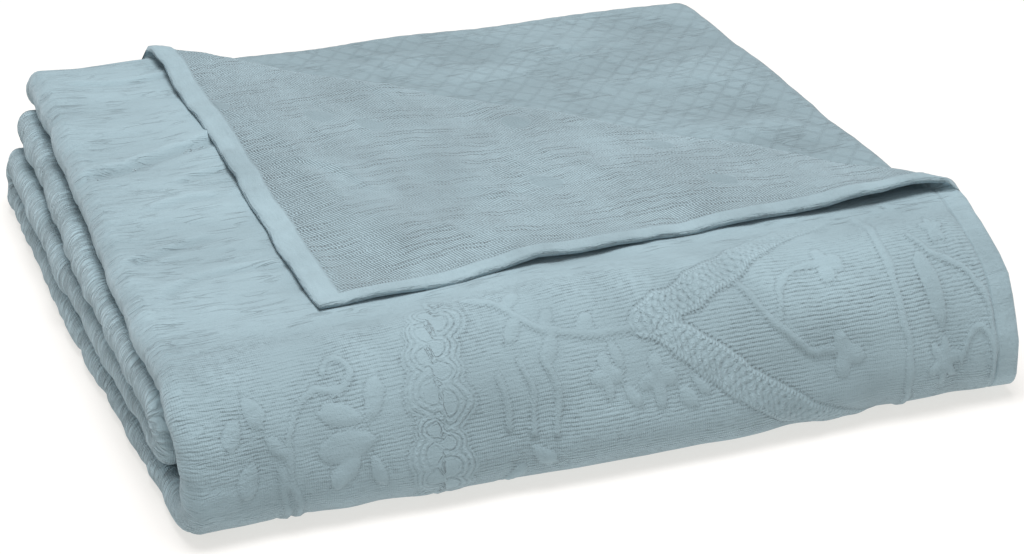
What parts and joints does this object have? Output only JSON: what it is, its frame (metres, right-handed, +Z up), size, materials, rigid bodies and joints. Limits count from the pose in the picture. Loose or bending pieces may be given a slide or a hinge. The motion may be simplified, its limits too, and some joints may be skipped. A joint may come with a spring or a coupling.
{
  "type": "folded matelasse coverlet",
  "caption": "Quilted cotton bed coverlet folded in a flat pile, with one corner turned back to show the reverse.",
  "frame": {"origin": "centre of the folded pile's footprint, on the surface that it lies on", "axes": "+Z up through the layers, -Y to the front wrap, +X to the free hem of the outer third"},
  "size_m": [0.6014, 0.5913, 0.1226],
  "materials": {
    "cotton": "matt blue-grey matelasse cotton, ribbed weave with raised bands and leaf motifs"
  },
  "bodies": {
    "root": {"coverlet": "cotton"}
  },
  "joints": []
}
